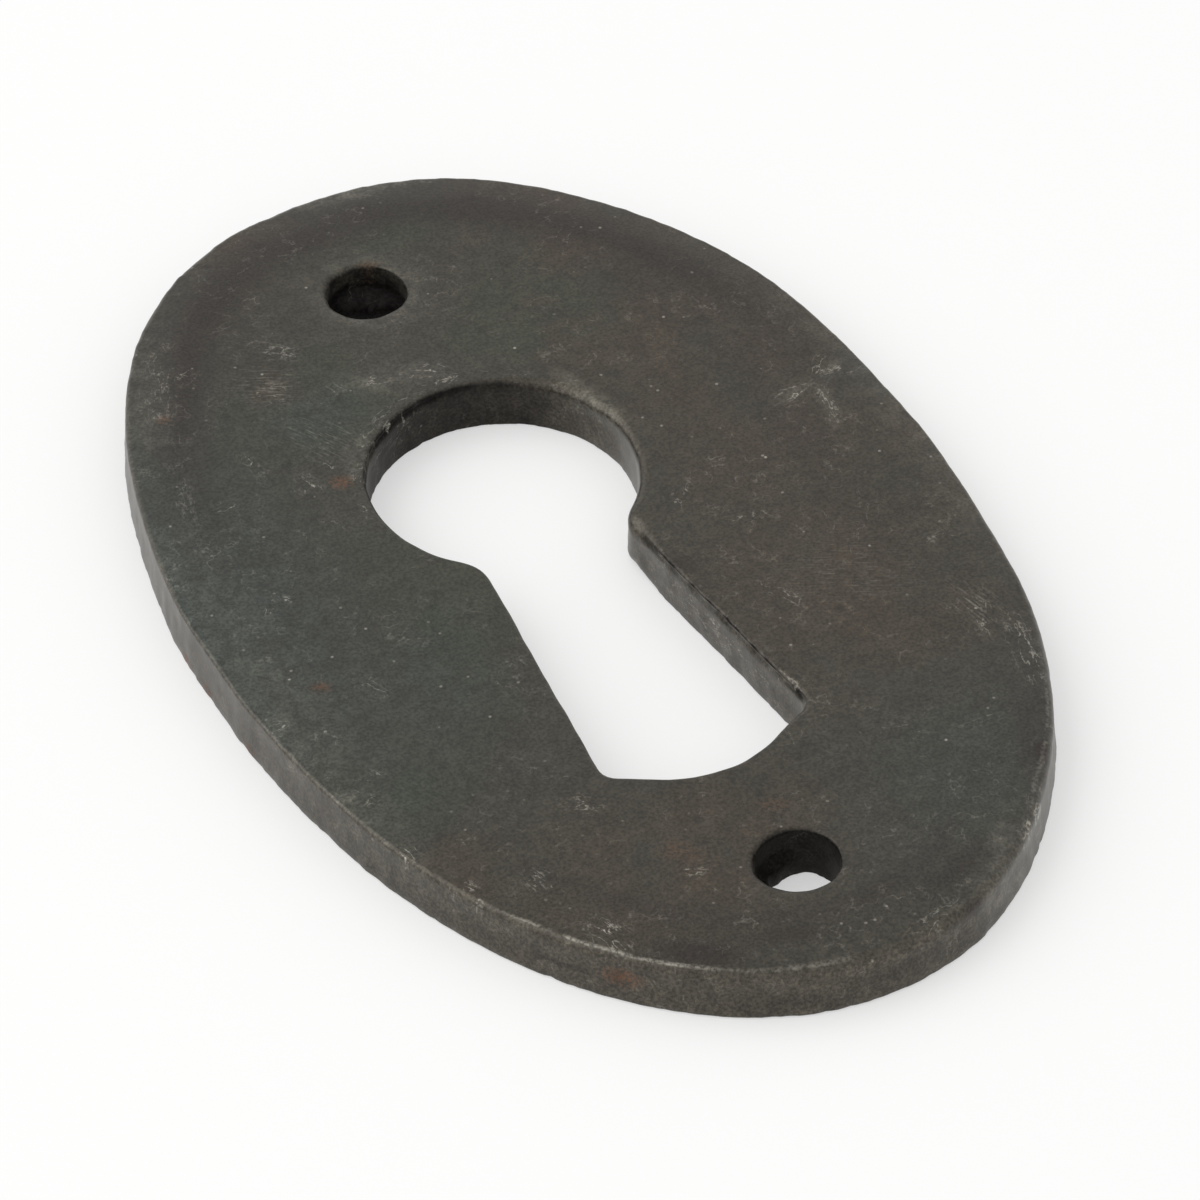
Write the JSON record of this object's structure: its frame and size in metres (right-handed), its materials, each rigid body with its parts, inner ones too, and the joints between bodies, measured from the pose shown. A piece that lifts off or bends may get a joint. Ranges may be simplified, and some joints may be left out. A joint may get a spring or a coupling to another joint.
{
  "type": "keyhole escutcheon",
  "caption": "Oval forged iron keyhole escutcheon with a round-headed, flared keyhole and a nail hole near each end.",
  "frame": {"origin": "middle of the back face, which lies on the surface", "axes": "+Z out of the front face, +Y along the line of the nail holes towards the keyhole's round head"},
  "size_m": [0.032, 0.051, 0.0024],
  "materials": {
    "forged_iron": "hammered by hand and waxed to a dull near-black"
  },
  "bodies": {
    "root": {"escutcheon_plate": "forged_iron"}
  },
  "joints": []
}
